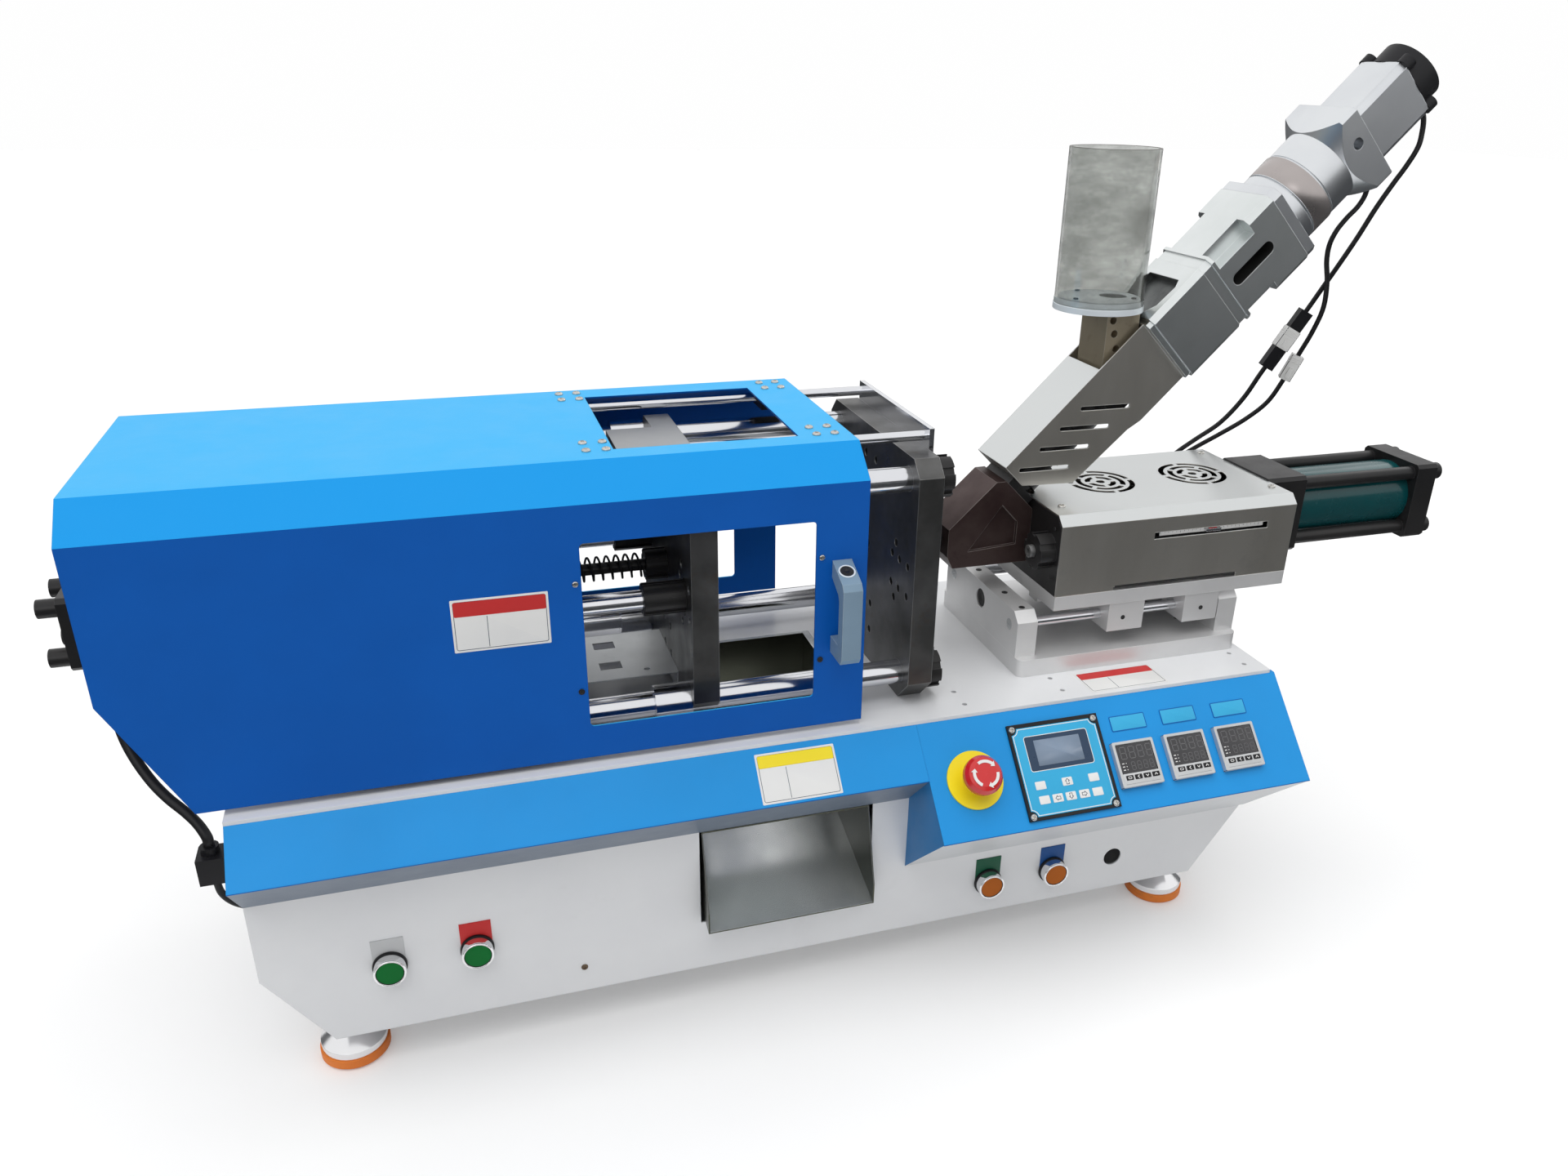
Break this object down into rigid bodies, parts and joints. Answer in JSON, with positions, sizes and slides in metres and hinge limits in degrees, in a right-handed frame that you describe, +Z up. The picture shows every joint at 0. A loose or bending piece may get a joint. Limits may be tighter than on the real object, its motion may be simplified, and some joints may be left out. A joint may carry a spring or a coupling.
{
  "type": "desktop injection moulding machine",
  "caption": "Bench plastic injection moulder with sliding guard, tie-bar clamp unit, inclined screw feeder, plunger cylinder on a nozzle carriage, and a front control console.",
  "frame": {"origin": "on the floor, under the middle of the machine's envelope", "axes": "+X along the machine towards the injection cylinder, +Y towards the back, +Z up"},
  "size_m": [1.503, 0.412, 0.9513],
  "materials": {
    "white_paint": "semi-gloss powder coat",
    "azure_paint": "semi-gloss powder coat",
    "blue_paint": "gloss powder coat",
    "polished_aluminium": "polished",
    "orange_rubber": "matte",
    "galvanised_sheet": "galvanised, dull",
    "grey_gear": "matte",
    "black_plastic": "fine grained",
    "chrome_trim": "bright",
    "yellow_plastic": "gloss",
    "green_plastic": "gloss",
    "orange_plastic": "gloss",
    "red_plastic": "gloss",
    "dark_platen_steel": "ground, oiled",
    "chromed_bar": "ground and chromed",
    "black_oxide": "black oxide",
    "pale_handle_paint": "satin",
    "milled_aluminium": "milled",
    "satin_aluminium": "bead blasted",
    "brushed_cover_steel": "brushed",
    "heated_brown_steel": "heat tinted",
    "teal_tube": "gloss",
    "tan_plate": "dull",
    "clear_plastic": "clear, dusty",
    "cable_jacket": "matte jacket"
  },
  "bodies": {
    "base": {"cabinet": "white_paint", "top_plate": "white_paint", "nose_strip": "azure_paint", "console_housing": "azure_paint", "leveling_feet": "polished_aluminium", "foot_pads": "orange_rubber", "discharge_chute": "galvanised_sheet", "control_gear": "grey_gear", "display_unit": "black_plastic", "temperature_controllers": "black_plastic", "button_bezels": "chrome_trim", "estop_collar": "yellow_plastic", "fixed_platen": "dark_platen_steel", "rear_platen": "dark_platen_steel", "tie_bars": "chromed_bar", "tie_bar_nuts": "black_oxide", "clamp_cylinder": "black_oxide", "guard_rods": "chromed_bar", "slide_base": "milled_aluminium", "rail_end_blocks": "milled_aluminium", "slide_rails": "chromed_bar", "side_hose": "cable_jacket", "side_loop": "cable_jacket", "side_connector": "black_plastic"},
    "guard": {"guard_cover": "blue_paint", "guard_handle": "pale_handle_paint", "guard_bearings": "black_plastic"},
    "clamp": {"moving_platen": "dark_platen_steel", "platen_bushes": "chromed_bar", "clamp_ram": "chromed_bar", "drip_tray": "galvanised_sheet"},
    "ejector": {"ejector_rod": "black_oxide", "ejector_spring": "black_oxide"},
    "carriage": {"carriage_plate": "milled_aluminium", "rail_bearings": "milled_aluminium", "injection_cover": "brushed_cover_steel", "injection_frame": "black_oxide", "heated_block": "heated_brown_steel", "nozzle": "black_oxide", "injection_cylinder_caps": "black_oxide", "injection_cylinder_tube": "teal_tube", "barrel": "black_oxide", "barrel_cover": "brushed_cover_steel", "feed_block": "tan_plate", "hopper": "clear_plastic", "feed_housing": "milled_aluminium", "adaptor_block": "milled_aluminium", "gearbox": "satin_aluminium", "motor": "satin_aluminium", "motor_end_cap": "black_plastic", "motor_cable_a": "cable_jacket", "motor_cable_b": "cable_jacket", "cable_connectors": "black_plastic"},
    "plunger": {"plunger": "chromed_bar"},
    "screw": {"feed_screw": "chromed_bar"},
    "power_button": {"power_button_cap": "green_plastic"},
    "heater_button": {"heater_button_cap": "green_plastic"},
    "start_button": {"start_button_cap": "orange_plastic"},
    "inject_button": {"inject_button_cap": "orange_plastic"},
    "estop": {"estop_mushroom": "red_plastic"}
  },
  "joints": [
    {"name": "guard_slide", "type": "slide", "parent": "base", "child": "guard", "axis": [1, 0, 0], "range_m": [-0.2, 0.08]},
    {"name": "clamp_slide", "type": "slide", "parent": "base", "child": "clamp", "axis": [1, 0, 0], "range_m": [0, 0.15]},
    {"name": "ejector_slide", "type": "slide", "parent": "clamp", "child": "ejector", "axis": [1, 0, 0], "range_m": [0, 0.02], "stiffness_N_per_m": 1500, "deforming": ["ejector_spring"]},
    {"name": "carriage_slide", "type": "slide", "parent": "base", "child": "carriage", "axis": [-1, 0, 0], "range_m": [0, 0.04]},
    {"name": "plunger_slide", "type": "slide", "parent": "carriage", "child": "plunger", "axis": [-1, 0, 0], "range_m": [-0.055, 0.055]},
    {"name": "screw_spin", "type": "hinge", "parent": "carriage", "child": "screw", "pos_m": [0.1455, 0.04, 0.45], "axis": [0.7071, 0, 0.7071], "continuous": true},
    {"name": "power_press", "type": "slide", "parent": "base", "child": "power_button", "axis": [0, 1, 0], "range_m": [0, 0.003], "stiffness_N_per_m": 600, "springref_m": -0.001},
    {"name": "heater_press", "type": "slide", "parent": "base", "child": "heater_button", "axis": [0, 1, 0], "range_m": [0, 0.003], "stiffness_N_per_m": 600, "springref_m": -0.001},
    {"name": "start_press", "type": "slide", "parent": "base", "child": "start_button", "axis": [0, 1, 0], "range_m": [0, 0.003], "stiffness_N_per_m": 600, "springref_m": -0.001},
    {"name": "inject_press", "type": "slide", "parent": "base", "child": "inject_button", "axis": [0, 1, 0], "range_m": [0, 0.003], "stiffness_N_per_m": 600, "springref_m": -0.001},
    {"name": "estop_press", "type": "slide", "parent": "base", "child": "estop", "axis": [0, 0.7207, -0.6932], "range_m": [0, 0.0045]}
  ]
}
